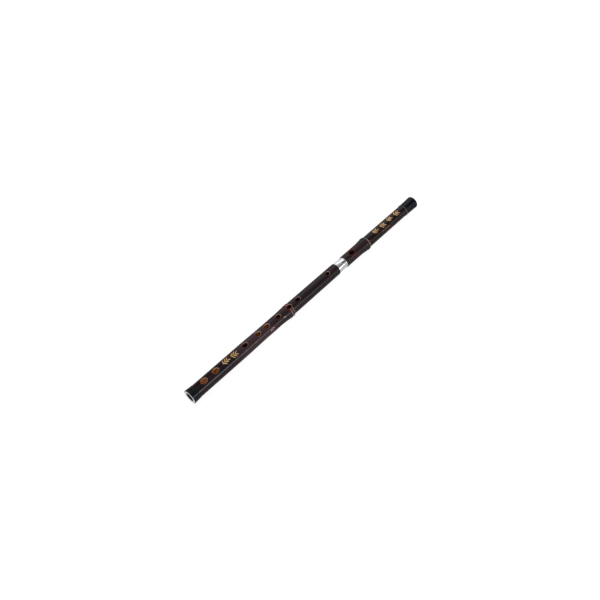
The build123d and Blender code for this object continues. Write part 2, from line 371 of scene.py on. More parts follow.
def drilled_tube(name, skin_xs, before, after, holes):
    """A closed tube with holes. before and after are the outline rows at its two ends.

    The skin and the bore use the same rows skin_xs. Three point attributes are stored: cut is 1
    on a drilled or turned surface and fades on the foot's side of each hole's rim and wall, which
    is painted shade, lining is 1 on the bore, and growth is how far a point follows the skin when
    the bamboo grows.
    """
    bm = bmesh.new()
    layers = [bm.verts.layers.float.new(layer) for layer in ("cut", "lining", "growth")]
    stock_r = bore_r + STOCK_WALL

    def point(x, radius, angle, *marks):
        vertex = bm.verts.new(surface_point(x, radius, angle))
        for layer, mark in zip(layers, marks):
            vertex[layer] = mark
        return vertex

    def whole_row(x, radius, *marks):
        angles = [math.tau * c / COLUMNS for c in range(COLUMNS)]
        return [point(x, radius, a, *marks) for a in angles]

    windows = [window_of(hole, skin_xs, COLUMNS) for hole in holes]
    blocked = set()
    for first, last, centre, reach in windows:
        for row in range(first, last):
            blocked |= {(row, (centre + c) % COLUMNS) for c in range(-reach, reach)}

    def sheet(radius, *marks):
        rows = [whole_row(x, radius, *marks) for x in skin_xs]
        for r in range(len(rows) - 1):
            for c in range(COLUMNS):
                if (r, c) not in blocked:
                    d = (c + 1) % COLUMNS
                    bm.faces.new((rows[r][c], rows[r][d], rows[r + 1][d], rows[r + 1][c]))
        return rows

    skin = sheet(stock_r, 0.0, 0.0, 1.0)
    bore = sheet(bore_r, 0.0, 1.0, 0.0)
    chain = [skin[-1]] + [whole_row(*row) for row in after] + [bore[-1]]
    chain_back = [bore[0]] + [whole_row(*row) for row in before] + [skin[0]]
    for rows in (chain, chain_back):
        for row, following in zip(rows, rows[1:]):
            add_ring_faces(bm, row, following)

    for hole, window in zip(holes, windows):
        border = window_border(window)
        directions = hole_directions(border, window, skin_xs)

        def border_loop(radius):
            return [(skin_xs[r], radius, math.tau * c / COLUMNS) for r, c in border]

        def even(cut, lining, share):
            return [(cut, lining, share)] * len(border)

        loops = []
        rim = oval_loop(hole, directions, RIM_ROUND, stock_r)
        for k in range(1, WINDOW_RINGS + 1):
            share = 1 - (1 - k / WINDOW_RINGS) ** 1.4
            loops.append((blend_loops(border_loop(stock_r), rim, share), even(0.0, 0.0, 1.0)))
        wall_radii = []
        for k in range(1, 5):
            swing = math.radians(22.5 * k)
            grow = RIM_ROUND * (1 - math.sin(swing))
            wall_radii.append((stock_r - RIM_ROUND * (1 - math.cos(swing)), grow, RIM_CUT[k - 1]))
        top, bottom = stock_r - RIM_ROUND, bore_r + BORE_EASE
        for k in range(1, WALL_STEPS + 1):
            wall_radii.append((top + (bottom - top) * k / WALL_STEPS, 0.0, 1.0))
        for radius, grow, cut in wall_radii:
            share = (radius - bore_r) / STOCK_WALL
            # painted light: the rim and wall keep their pale cut colour on the head's side and are
            # darkened on the foot's side as painted shade
            painted_light_side = [1 - FOOT_SIDE_PAINTED_SHADE * (0.5 - 0.5 * math.cos(d)) for d in directions]
            marks = [(cut * f, 0.0, share) for f in painted_light_side]
            loops.append((oval_loop(hole, directions, grow, radius), marks))
        lip = oval_loop(hole, directions, BORE_EASE, bore_r)
        for k in range(WINDOW_RINGS):
            share = (k / WINDOW_RINGS) ** 1.4
            loops.append((blend_loops(lip, border_loop(bore_r), share), even(0.0, 1.0, 0.0)))

        previous = [skin[r][c % COLUMNS] for r, c in border]
        for loop, marks in loops:
            current = [point(*place, *mark) for place, mark in zip(loop, marks)]
            add_ring_faces(bm, previous, current)
            previous = current
        add_ring_faces(bm, previous, [bore[r][c % COLUMNS] for r, c in border])
    return finish_mesh(bm, name, sharp_degrees=55)


def row_places(start, end, node_x, step=1.3 * MM, fine_step=0.35 * MM, fine_reach=9.5 * MM):
    """Rows from start to end, closer together round the bamboo's node and its second ring."""
    between_rings = node_x + 2 * MM
    places = [start]
    while places[-1] < end:
        near = abs(places[-1] - between_rings) < fine_reach
        places.append(places[-1] + (fine_step if near else step))
    places[-1] = end
    if places[-1] - places[-2] < 0.5 * fine_step:
        del places[-2]
    return places


# %% Straight stock for the two sections
SPIGOT_WALL = 2.1 * MM
TENON_WALL = 0.84 * MM
SOCKET_SEAT_WALL = 1.99 * MM
MEETING_EASE = 0.5 * MM
BODY_NODE_FROM_HOLE = -4.0 * MM
HEAD_NODE_FROM_HOLE = 39.7 * MM

body_node_x = fifth_finger_x + BODY_NODE_FROM_HOLE
head_node_x = blow_hole_x + HEAD_NODE_FROM_HOLE
stock_r = bore_r + STOCK_WALL
spigot_r = bore_r + SPIGOT_WALL

# the three marks of a row: cut, lining, growth
CUT, LINED, GROWN = (1.0, 0.0, 0.0), (0.0, 1.0, 0.0), (0.0, 0.0, 1.0)

body_xs = row_places(foot_sleeve_end, socket_floor - MEETING_EASE, body_node_x)
LAST_ROWS = 10
socket_length = body_end - socket_floor
last_skin = [socket_floor + k * socket_length / LAST_ROWS for k in range(LAST_ROWS + 1)]
socket_seat_r = bore_r + SOCKET_SEAT_WALL
body_bamboo = drilled_tube(
    "body_bamboo",
    body_xs,
    before=[
        (body_start, bore_r, *LINED),
        (body_start, spigot_r, *CUT),
        (foot_sleeve_end, spigot_r, *CUT),
    ],
    after=[(x, stock_r, *GROWN) for x in last_skin] + [
        (body_end, socket_seat_r, *CUT),
        (socket_floor, socket_seat_r, *CUT),
        (socket_floor, bore_r + MEETING_EASE, *CUT),
    ],
    holes=body_holes + tassel_holes,
)
print("body bamboo:", len(body_bamboo.data.polygons), "faces")

head_xs = row_places(shoulder_x, head_sleeve_start, head_node_x)
tenon_r = bore_r + TENON_WALL
head_bamboo = drilled_tube(
    "head_bamboo",
    head_xs,
    before=[
        (tenon_tip + MEETING_EASE, bore_r, *LINED),
        (tenon_tip, bore_r + MEETING_EASE, *CUT),
        (tenon_tip, tenon_r, *CUT),
        (shoulder_x, tenon_r, *CUT),
    ],
    after=[
        (head_sleeve_start, spigot_r, *CUT),
        (head_tube_end, spigot_r, *CUT),
        (head_tube_end, bore_r, *LINED),
    ],
    holes=head_holes,
)
print("head bamboo:", len(head_bamboo.data.polygons), "faces")

# %% [markdown]
# ## Let the bamboo grow
# A bamboo stem follows a rule. It swells slowly towards a node, ends in a thin crest where the
# leaf sheath sat, has a second ring just beyond it, and carries on a little slimmer. The straight
# stock is a rule-less tube, so Geometry Nodes push its skin in and out by that rule while the
# bore stays true. The same tree shapes both sections: only its inputs differ. A soft noise makes
# the stem a little out of round, and fades out at both ends so that the sleeves still fit. The
# tree ends by giving the stem its lacquer, which is an empty material until the finishes are made.

# %% The growth tree
def group_inputs(tree, sockets):
    face = tree.node_tree.interface
    for name, (kind, value) in sockets.items():
        socket = face.new_socket(name, in_out="INPUT", socket_type=kind)
        if value is not None:
            socket.default_value = value
    face.new_socket("Geometry", in_out="OUTPUT", socket_type="NodeSocketGeometry")
    return tree.add("NodeGroupInput")


FLOAT = "NodeSocketFloat"
growth_inputs = {
    "Stock": ("NodeSocketGeometry", None),
    "Start": (FLOAT, 0.0),
    "End": (FLOAT, 0.4),
    "Node Place": (FLOAT, 0.23),
    "Wall At Start": (FLOAT, 0.0035),
    "Wall Below Node": (FLOAT, 0.003),
    "Wall Above Node": (FLOAT, 0.0034),
    "Wall At End": (FLOAT, 0.0031),
    "Taper Start": (FLOAT, 0.12),
    "Taper Length": (FLOAT, 0.05),
    "Swelling": (FLOAT, 0.0013),
    "Swelling Length": (FLOAT, 0.024),
    "Crest": (FLOAT, 0.0004),
    "Collar Length": (FLOAT, 0.0055),
    "Collar Drop": (FLOAT, 0.0035),
    "Ring": (FLOAT, 0.0003),
    "Lean": (FLOAT, 0.25),
    "Unevenness": (FLOAT, 0.00008),
    "Lacquer": ("NodeSocketMaterial", None),
}
END_FADE = 6 * MM


def build_growth_tree():
    tree = Tree(bpy.data.node_groups.new("bamboo growth", "GeometryNodeTree"))
    given = group_inputs(tree, growth_inputs)
    position = tree.add("GeometryNodeInputPosition")["Position"]
    x, y, z = tree.parts(position)
    radius = (y * y + z * z).root()
    growth = tree.add("GeometryNodeInputNamedAttribute", {"data_type": "FLOAT"}, {"Name": "growth"})

    place = x - given["Node Place"]
    taper = (x - given["Taper Start"]).ramp(0.0, given["Taper Length"])
    below = given["Wall At Start"] + (given["Wall Below Node"] - given["Wall At Start"]) * taper
    upper_share = ((x - given["Node Place"]) / (given["End"] - given["Node Place"])).clamped()
    thinning = given["Wall At End"] - given["Wall Above Node"]
    above = given["Wall Above Node"] + thinning * upper_share
    beyond = place.ramp(-0.0005, 0.0005)
    wall = below + (above - below) * beyond

    rise = ((place + given["Swelling Length"]) / given["Swelling Length"]).clamped() ** 1.3
    swelling = rise * given["Swelling"] * (1 - beyond)
    collar = (1 - (place - given["Collar Length"]).ramp(0.0, given["Collar Drop"])) * beyond
    collar_height = (below + given["Swelling"] - above) * collar
    crest = place.bell(0.0, 0.0011) * given["Crest"]
    ring = (place - given["Collar Length"]).bell(0.0, 0.0009) * given["Ring"]
    hollow = (place - given["Collar Length"] * 0.5).bell(0.0, 0.0013) * given["Ring"] * -0.9
    # the node stands higher on one side, as it does on a stem that grew at a slant
    slant = 1 + given["Lean"] * (y * -0.9 - z * 0.4) / radius
    node_shape = (swelling + collar_height + crest + ring + hollow) * slant

    from_start = ((x - given["Start"]) / END_FADE).clamped()
    to_end = ((given["End"] - x) / END_FADE).clamped()
    broad = tree.add(
        "ShaderNodeTexNoise",
        {"noise_dimensions": "3D"},
        {"Vector": tree.vector(x * 22.0, y * 60.0, z * 60.0), "Scale": 1.0, "Detail": 2.0},
    )["Fac"]
    uneven = (broad - 0.5) * given["Unevenness"] * 2.0 * (from_start * to_end)

    grown = wall + node_shape + uneven
    factor = (radius + (grown - STOCK_WALL) * growth["Attribute"]) / radius
    moved = tree.vector(x, y * factor, z * factor)
    shaped = tree.add(
        "GeometryNodeSetPosition", None, {"Geometry": given["Stock"], "Position": moved}
    )["Geometry"]
    whole = tree.add("GeometryNodeRealizeInstances", None, {"Geometry": shaped})["Geometry"]
    lacquer = {"Geometry": whole, "Material": given["Lacquer"]}
    lacquered = tree.add("GeometryNodeSetMaterial", None, lacquer)["Geometry"]
    tree.add("NodeGroupOutput", None, {"Geometry": lacquered})
    return tree.node_tree


growth_tree = build_growth_tree()
print("growth tree:", len(growth_tree.nodes), "nodes")


# %% Run a tree and keep its result
def grown_mesh(piece, tree, values):
    """Give the piece a Geometry Nodes modifier, set its inputs, and keep the result as its mesh."""
    modifier = piece.modifiers.new("grow", "NODES")
    modifier.node_group = tree
    for item in tree.interface.items_tree:
        if item.item_type == "SOCKET" and item.in_out == "INPUT" and item.name in values:
            modifier[item.identifier] = values[item.name]
    evaluated = piece.evaluated_get(bpy.context.evaluated_depsgraph_get())
    mesh = bpy.data.meshes.new_from_object(evaluated)
    old = piece.data
    piece.modifiers.remove(modifier)
    piece.data = mesh
    mesh.name = piece.name
    if old.users == 0:
        bpy.data.meshes.remove(old)
    return piece


body_lacquer = bpy.data.materials.new("body_lacquer")
head_lacquer = bpy.data.materials.new("head_lacquer")
grown_mesh(
    body_bamboo,
    growth_tree,
    {
        "Start": foot_sleeve_end,
        "End": body_end,
        "Node Place": body_node_x,
        "Wall At Start": 3.5 * MM,
        "Wall Below Node": 3.0 * MM,
        "Wall Above Node": 3.42 * MM,
        "Wall At End": 3.1 * MM,
        "Taper Start": first_finger_x - 6 * MM,
        "Taper Length": 50 * MM,
        "Swelling": 1.35 * MM,
        "Swelling Length": 24 * MM,
        "Crest": 0.45 * MM,
        "Collar Length": 5.2 * MM,
        "Collar Drop": 3.0 * MM,
        "Ring": 0.35 * MM,
        "Lean": 0.32,
        "Lacquer": body_lacquer,
    },
)
grown_mesh(
    head_bamboo,
    growth_tree,
    {
        "Start": shoulder_x,
        "End": head_sleeve_start,
        "Node Place": head_node_x,
        "Wall At Start": 3.0 * MM,
        "Wall Below Node": 3.0 * MM,
        "Wall Above Node": 3.0 * MM,
        "Wall At End": 2.85 * MM,
        "Taper Start": shoulder_x,
        "Taper Length": 10 * MM,
        "Swelling": 1.5 * MM,
        "Swelling Length": 20 * MM,
        "Crest": 0.4 * MM,
        "Collar Length": 3.4 * MM,
        "Collar Drop": 3.2 * MM,
        "Ring": 0.3 * MM,
        "Lean": 0.1,
        "Lacquer": head_lacquer,
    },
)
for piece in (body_bamboo, head_bamboo):
    tops = [math.hypot(v.co.y, v.co.z) for v in piece.data.vertices]
    print(piece.name, "largest radius", round(max(tops) / MM, 2), "mm")

# %% [markdown]
# ## Sleeves, rings and the metal joint
# The end sleeves were turned from black horn and polished, and the rings and the socket from
# nickel silver. A lathe leaves small things that tell the eye what it sees: a rounded rim, a
# fine groove next to a bead, an edge that was broken with a file. Each outline below is listed in
# the order a turner would cut it, with every rounded corner worked out by one helper.

# %% Outline helpers
def corner(before, at, after, radius, steps=4):
    """Points that round the corner at between its two neighbours."""
    at, before, after = Vector(at), Vector(before), Vector(after)
    leg_in = (before - at).normalized() * radius
    leg_out = (after - at).normalized() * radius
    rounded = []
    for k in range(steps + 1):
        t = k / steps
        rounded.append(tuple(at + leg_in * (1 - t) ** 2 + leg_out * t**2))
    return rounded


def rounded_outline(points):
    """A closed outline from (x, radius, rounding) points."""
    outline = []
    for i, (x, r, rounding) in enumerate(points):
        if rounding:
            before, after = points[i - 1][:2], points[(i + 1) % len(points)][:2]
            outline += corner(before, (x, r), after, rounding)
        else:
            outline.append((x, r))
    return outline


def flare(start, end, low, high, power, count=14):
    """A smooth widening from (start, low) to (end, high)."""
    shares = [k / count for k in range(count + 1)]
    return [(start + (end - start) * t, low + (high - low) * t**power, 0) for t in shares]


# %% Horn sleeves
LIP_DEPTH = 3.0 * MM
RING_DEPTH = 1.2 * MM
EDGE = 0.18 * MM
GROOVE = 0.22 * MM
GROOVE_FROM_END = 2.2 * MM

foot_rim_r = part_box("foot_sleeve")[1].z
foot_ring_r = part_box("foot_lip_ring")[1].z
foot_step_r = bore_r + 4.0 * MM
foot_groove_x = foot_sleeve_end - GROOVE_FROM_END
seat_r = spigot_r + FIT

foot_outline = [
    (foot_sleeve_end, seat_r, 0),
    (LIP_DEPTH, seat_r, 0),
    (LIP_DEPTH, bore_r, 0),
    (RING_DEPTH, bore_r, 0),
    (RING_DEPTH, foot_ring_r + FIT, 0),
    (0.0, foot_ring_r + FIT, 0.08 * MM),
    (0.0, foot_rim_r, 0.4 * MM),
]
foot_outline += flare(
    1.2 * MM, foot_groove_x - 0.4 * MM, foot_rim_r - 0.05 * MM, foot_step_r, power=0.75
)
foot_outline += [
    (foot_groove_x, foot_step_r - GROOVE, 0.1 * MM),
    (foot_groove_x + 0.3 * MM, foot_step_r, 0.12 * MM),
    (foot_sleeve_end, foot_step_r, 0.35 * MM),
]
foot_horn = turned("foot_horn", rounded_outline(foot_outline))

head_rim_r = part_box("head_sleeve")[1].z
head_ring_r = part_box("head_lip_ring")[1].z
head_step_r = bore_r + 3.25 * MM
BEAD_LENGTH = 2.4 * MM
BEAD_POINTS = 8
bead = []
for k in range(BEAD_POINTS + 1):
    t = k / BEAD_POINTS
    bead_height = 0.5 * MM * math.sin(math.pi * t) - 0.12 * MM
    bead.append((head_sleeve_start + BEAD_LENGTH * t, head_step_r + bead_height, 0))
bead_end = head_sleeve_start + BEAD_LENGTH
head_outline = [(head_sleeve_start, seat_r, 0)] + bead
head_outline += flare(
    bead_end + 0.4 * MM, head_end - 1.0 * MM, head_step_r, head_rim_r - 0.03 * MM, power=2.0
)
head_outline += [
    (head_end, head_rim_r, 0.4 * MM),
    (head_end, head_ring_r + FIT, 0.08 * MM),
    (head_end - RING_DEPTH, head_ring_r + FIT, 0),
    (head_end - RING_DEPTH, bore_r, 0),
    (head_end - LIP_DEPTH, bore_r, 0),
    (head_end - LIP_DEPTH, seat_r, 0),
]
head_horn = turned("head_horn", rounded_outline(head_outline))
print("sleeves:", foot_horn.name, head_horn.name)


# %% Metal rings, socket and sheath
def washer(name, start, end, inner, outer, edge):
    """A flat ring with broken edges."""
    return turned(name, rounded_outline([
        (start, inner, edge), (start, outer, edge), (end, outer, edge), (end, inner, edge)
    ]))


foot_ring = washer("foot_ring", 0.0, RING_DEPTH, bore_r, foot_ring_r, EDGE)
head_ring = washer("head_ring", head_end - RING_DEPTH, head_end, bore_r, head_ring_r, EDGE)

socket_out_r = bore_r + 1.94 * MM
socket_in_r = bore_r + 1.44 * MM
BEAD_R = 0.5 * MM
BEAD_STEPS = 12
bead_x = socket_mouth - BEAD_R
bead_foot = bead_x - 2 * BEAD_R


def tool_line(start, end, radius):
    """A fine line that the corner of the tool left round the metal."""
    return [(start, radius, 0), (start + 0.15 * MM, radius - 0.09 * MM, 0), (end, radius, 0)]


socket_points = [(socket_floor, socket_in_r, 0), (socket_floor, socket_out_r, 0.1 * MM)]
socket_points += tool_line(body_end + 0.9 * MM, body_end + 1.2 * MM, socket_out_r)
socket_points += tool_line(bead_foot - 0.35 * MM, bead_foot, socket_out_r)
for k in range(BEAD_STEPS + 1):
    swing = math.pi * k / BEAD_STEPS
    bead_r = socket_out_r + BEAD_R * math.sin(swing)
    socket_points.append((bead_x - BEAD_R * math.cos(swing), bead_r, 0))
socket_points.append((socket_mouth, socket_in_r, 0.08 * MM))
socket_band = turned("socket_band", rounded_outline(socket_points))

sheath_out_r = bore_r + 1.39 * MM
sheath_in_r = bore_r + 0.89 * MM
tenon_sleeve = washer(
    "tenon_sleeve", tenon_tip, shoulder_x - FIT, sheath_in_r, sheath_out_r, 0.1 * MM
)
print(f"socket radius {socket_out_r / MM:.2f} mm, sheath radius {sheath_out_r / MM:.2f} mm")

# %% [markdown]
# ## The stopper
# A flute of this kind is closed just beyond the blow hole by a plug of cork. It was cut with a
# knife and pushed in, so its ends are slightly domed and its edges rounded. It hides in the bore
# and only shows through the blow hole and the open head.

# %% Cork
cork_start, cork_end = span("head_stopper")
cork_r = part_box("head_stopper")[1].z


def domed_plug(name, start, end, radius, dome, edge, columns=72):
    """A plug with two domed ends, closed by a fan at each pole."""
    rows = []
    for t in (0.0, 0.35, 0.7, 0.9):
        rows.append((start + dome * (t * t), max(radius * t, 1e-7)))
    profile = rows + corner((start, radius * 0.9), (start + dome, radius), (end, radius), edge)
    mirrored = [(start + end - x, r) for x, r in reversed(profile)]
    bm = bmesh.new()
    previous = None
    for x, r in profile + mirrored:
        angles = [math.tau * c / columns for c in range(columns)]
        current = [bm.verts.new(surface_point(x, r, a)) for a in angles]
        if previous:
            add_ring_faces(bm, previous, current)
        previous = current
    bmesh.ops.remove_doubles(bm, verts=bm.verts, dist=1e-6)
    bmesh.ops.dissolve_degenerate(bm, edges=bm.edges, dist=1e-7)
    return finish_mesh(bm, name)


cork_plug = domed_plug("cork_plug", cork_start, cork_end, cork_r, 0.35 * MM, 0.9 * MM)
print("cork from", round(cork_start / MM, 1), "to", round(cork_end / MM, 1), "mm")

# %% [markdown]
# ## Painted leaves
# The maker carves a short inscription and fills it with gold. This flute carries sprays of
# bamboo leaves instead. A spray repeats one leaf in pairs along a stem, and the spray itself
# repeats along the flute, so Geometry Nodes place them: every leaf is a point whose place and
# turn follow from its index. A Raycast then lays each leaf on the real, uneven bamboo.

# %% The spray tree
spray_inputs = {
    "Bamboo": ("NodeSocketObject", None),
    "Paint": ("NodeSocketMaterial", None),
    "Sprays": ("NodeSocketInt", 2),
    "First Spray": (FLOAT, 0.08),
    "Spray Step": (FLOAT, 0.018),
    "Leaf Length": (FLOAT, 0.008),
    "Leaf Width": (FLOAT, 0.0021),
    "Stem Length": (FLOAT, 0.009),
    "Stem Width": (FLOAT, 0.0008),
    "Stem Lean": (FLOAT, math.radians(8)),
    "Paint Height": (FLOAT, 0.00012),
    "Seed": ("NodeSocketInt", 4),
}
LEAVES_PER_SPRAY = 6
LEAF_STAGGER = 0.4 * MM
SHEET = 0.3 * MM
RAY_START = 20 * MM
RAY_LENGTH = 30 * MM


def slab(tree, sheet, thickness):
    """Give a flat sheet a thickness downwards and close it."""
    grown = tree.add(
        "GeometryNodeExtrudeMesh",
        {"mode": "FACES"},
        {"Mesh": sheet, "Offset Scale": thickness, "Individual": False},
    )["Mesh"]
    back = tree.add("GeometryNodeFlipFaces", None, {"Mesh": sheet})["Mesh"]
    both = tree.add("GeometryNodeJoinGeometry", None, {"Geometry": [grown, back]})["Geometry"]
    merged = {"Geometry": both, "Distance": 1e-6}
    return tree.add("GeometryNodeMergeByDistance", None, merged)["Geometry"]


def leaf_sheet(tree, length, width):
    """A flat leaf or stroke that starts at the origin and points along X."""
    grid = tree.add(
        "GeometryNodeMeshGrid",
        None,
        {"Size X": length, "Size Y": width, "Vertices X": 25, "Vertices Y": 7},
    )["Mesh"]
    x, y, z = tree.parts(tree.add("GeometryNodeInputPosition")["Position"])
    along = (x / length + 0.5).clamped()
    belly = (along * math.pi).sine() ** 0.75 * (1.12 - along * 0.3) + 0.05
    curl = (along * math.pi).sine() * length * 0.035
    shaped = tree.vector(x + length * 0.5, y * belly + curl, 0.0)
    moved = {"Geometry": grid, "Position": shaped}
    return tree.add("GeometryNodeSetPosition", None, moved)["Geometry"]


def build_spray_tree():
    tree = Tree(bpy.data.node_groups.new("painted sprays", "GeometryNodeTree"))
    given = group_inputs(tree, spray_inputs)
    index = tree.add("GeometryNodeInputIndex")["Index"]
    spray = (index / LEAVES_PER_SPRAY).steps()
    within = index % LEAVES_PER_SPRAY
    pair = (within / 2).steps()
    side = 1 - (within % 2) * 2
    turn = 1 - (spray % 2) * 2
    chance = tree.add(
        "FunctionNodeRandomValue",
        {"data_type": "FLOAT"},
        {"Min": -1.0, "Max": 1.0, "Seed": given["Seed"]},
    )["Value"]
    along = (pair * 0.40 - 0.38) * given["Stem Length"] + (1 - side) * 0.5 * LEAF_STAGGER
    spread = math.radians(52) - pair * math.radians(11) + chance * math.radians(4)
    lean = given["Stem Lean"] * turn
    leaf_x = given["First Spray"] + given["Spray Step"] * spray + along * lean.cosine()
    leaf_y = along * lean.sine()
    total = given["Sprays"] * LEAVES_PER_SPRAY
    points = tree.add(
        "GeometryNodePoints",
        None,
        {"Count": total, "Position": tree.vector(leaf_x, leaf_y, 0.0), "Radius": 0.001},
    )["Points"]
    angle = lean + spread * side
    leaf = slab(tree, leaf_sheet(tree, given["Leaf Length"], given["Leaf Width"]), SHEET)
    length_share = 1 + chance * 0.08
    leaves = tree.add(
        "GeometryNodeInstanceOnPoints",
        None,
        {
            "Points": points,
            "Instance": leaf,
            "Rotation": tree.vector(0.0, 0.0, angle),
            "Scale": tree.vector(length_share, 1.0, 1.0),
        },
    )["Instances"]

    stem_turn = 1 - (index % 2) * 2
    stem_lean = given["Stem Lean"] * stem_turn
    half = given["Stem Length"] * 0.5
    stem_x = given["First Spray"] + given["Spray Step"] * index - half * stem_lean.cosine()
    stem_points = tree.add(
        "GeometryNodePoints",
        None,
        {
            "Count": given["Sprays"],
            "Position": tree.vector(stem_x, half * stem_lean.sine() * -1.0, 0.0),
            "Radius": 0.001,
        },
    )["Points"]
    stroke = slab(tree, leaf_sheet(tree, given["Stem Length"], given["Stem Width"]), SHEET)
    stems = tree.add(
        "GeometryNodeInstanceOnPoints",
        None,
        {"Points": stem_points, "Instance": stroke, "Rotation": tree.vector(0.0, 0.0, stem_lean)},
    )["Instances"]

    flat = tree.add("GeometryNodeJoinGeometry", None, {"Geometry": [leaves, stems]})["Geometry"]
    flat = tree.add("GeometryNodeRealizeInstances", None, {"Geometry": flat})["Geometry"]

    # lay the flat leaves on the bamboo: arc length across becomes an angle round the bore
    fx, fy, fz = tree.parts(tree.add("GeometryNodeInputPosition")["Position"])
    bend = fy / (bore_r + STOCK_WALL)
    above = tree.vector(fx, bend.sine() * RAY_START, bend.cosine() * RAY_START)
    inward = tree.vector(0.0, bend.sine() * -1.0, bend.cosine() * -1.0)
    target = tree.add("GeometryNodeObjectInfo", None, {"Object": given["Bamboo"]})["Geometry"]
    hit = tree.add(
        "GeometryNodeRaycast",
        {"data_type": "FLOAT"},
        {
            "Target Geometry": target,
            "Source Position": above,
            "Ray Direction": inward,
            "Ray Length": RAY_LENGTH,
        },
    )["Hit Position"]
    _, hy, hz = tree.parts(hit)
    surface = (hy * hy + hz * hz).root()
    # one face of the sheet lies just above the bamboo and the other just below
    up_or_down = (fz.size() / SHEET).ramp(0.4, 0.6) * 2.0 - 1.0
    height = surface + given["Paint Height"] * up_or_down
    laid = {"Position": tree.vector(fx, bend.sine() * height, bend.cosine() * height)}
    shaped = tree.add("GeometryNodeSetPosition", None, {"Geometry": flat, **laid})["Geometry"]
    paint = {"Geometry": shaped, "Material": given["Paint"]}
    painted = tree.add("GeometryNodeSetMaterial", None, paint)["Geometry"]
    tree.add("NodeGroupOutput", None, {"Geometry": painted})
    return tree.node_tree


spray_tree = build_spray_tree()
print("spray tree:", len(spray_tree.nodes), "nodes")

# %% [markdown]
# ## Finishes
# A finish is a material with the detail that the real surface has at its real scale. Stained
# bamboo shows fibres a few tenths of a millimetre wide and several centimetres long, cloudy red
# where the stain took less, and bare straw colour wherever a tool cut through the lacquer: at
# the rims of the holes and along the rings of the nodes. Some colours are painted light: the
# rims fade to painted shade on the foot's side, a few pale marks on the skin carry painted
# glints, the bore and the deep hole walls are painted lit near the lower holes and in shade
# elsewhere, and the bore is painted nearly black just inside the open ends. All patterns read
# Object coordinates, which are the flute's own metres, so they keep their scale and stay with
# the piece.

# %% Helpers for finishes
class Finish(Tree):
    """A material's tree with the textures that the finishes below share."""

    def __init__(self, name):
        blank = bpy.data.materials.get(name)  # the bamboo was grown with its own
        self.material = blank or bpy.data.materials.new(name)
        self.material.use_nodes = True
        self.material.node_tree.nodes.clear()
        super().__init__(self.material.node_tree)
        self.place = self.add("ShaderNodeTexCoord")["Object"]
        self.x, self.y, self.z = self.parts(self.place)

    def noise(self, along, across, detail=3.0, roughness=0.55, shift=0.0):
        """Noise stretched along the flute: features per metre along it and across it."""
        where = self.vector(self.x * along + shift, self.y * across, self.z * across)
        settings = {"noise_dimensions": "3D"}
        inputs = {"Vector": where, "Scale": 1.0, "Detail": detail, "Roughness": roughness}
        return self.add("ShaderNodeTexNoise", settings, inputs)["Fac"]

    def colour(self, share, first, second):
        """The first colour where share is 0, the second where it is 1."""
        def as_input(value):
            return value if isinstance(value, Wire) else (*value, 1.0)
        inputs = {0: share, 6: as_input(first), 7: as_input(second)}
        return self.add("ShaderNodeMix", {"data_type": "RGBA"}, inputs)["Result"]

    def angle(self):
        """Angle of a point round the bore, from straight up towards -Y."""
        return self.y.maths("ARCTAN2", self.y * -1.0, self.z)

    def attribute(self, name):
        return self.add("ShaderNodeAttribute", {"attribute_name": name})["Fac"]

    def bump(self, height, distance, strength=1.0):
        inputs = {"Height": height, "Distance": distance, "Strength": strength}
        return self.add("ShaderNodeBump", None, inputs)["Normal"]

    def done(self, **inputs):
        """Join the Principled shader, with these socket values, to the output."""
        named = {name.replace("_", " "): value for name, value in inputs.items()}
        shader = self.add("ShaderNodeBsdfPrincipled", None, named)["BSDF"]
        self.add("ShaderNodeOutputMaterial", None, {"Surface": shader})
        return self.material


# %% Stained and lacquered bamboo
STAIN_BLACK = (0.0048, 0.0026, 0.0042)
STAIN_DEEPEST = (0.0030, 0.0006, 0.0012)
STAIN_BROWN = (0.0165, 0.0058, 0.0052)
STAIN_VIOLET = (0.0265, 0.0135, 0.0160)
STAIN_RED = (0.046, 0.0050, 0.0042)
FIBRE = (0.060, 0.036, 0.034)
STRAW = (0.34, 0.245, 0.180)
STRAW_PALE = (0.61, 0.485, 0.375)
# painted light and shade: lit and shaded colours for the deep hole walls and the bore
CUT_DEEP_PAINTED_LIGHT = (0.42, 0.175, 0.070)
WALL_PAINTED_SHADE = (0.055, 0.014, 0.008)
BORE_PAINTED_LIGHT = (0.95, 0.52, 0.19)
BORE_DARK = (0.24, 0.038, 0.014)
# painted shade just inside the open ends of the bore
MOUTH_PAINTED_SHADE = (0.018, 0.008, 0.006)
SKIN_REACH = 3.2 * MM


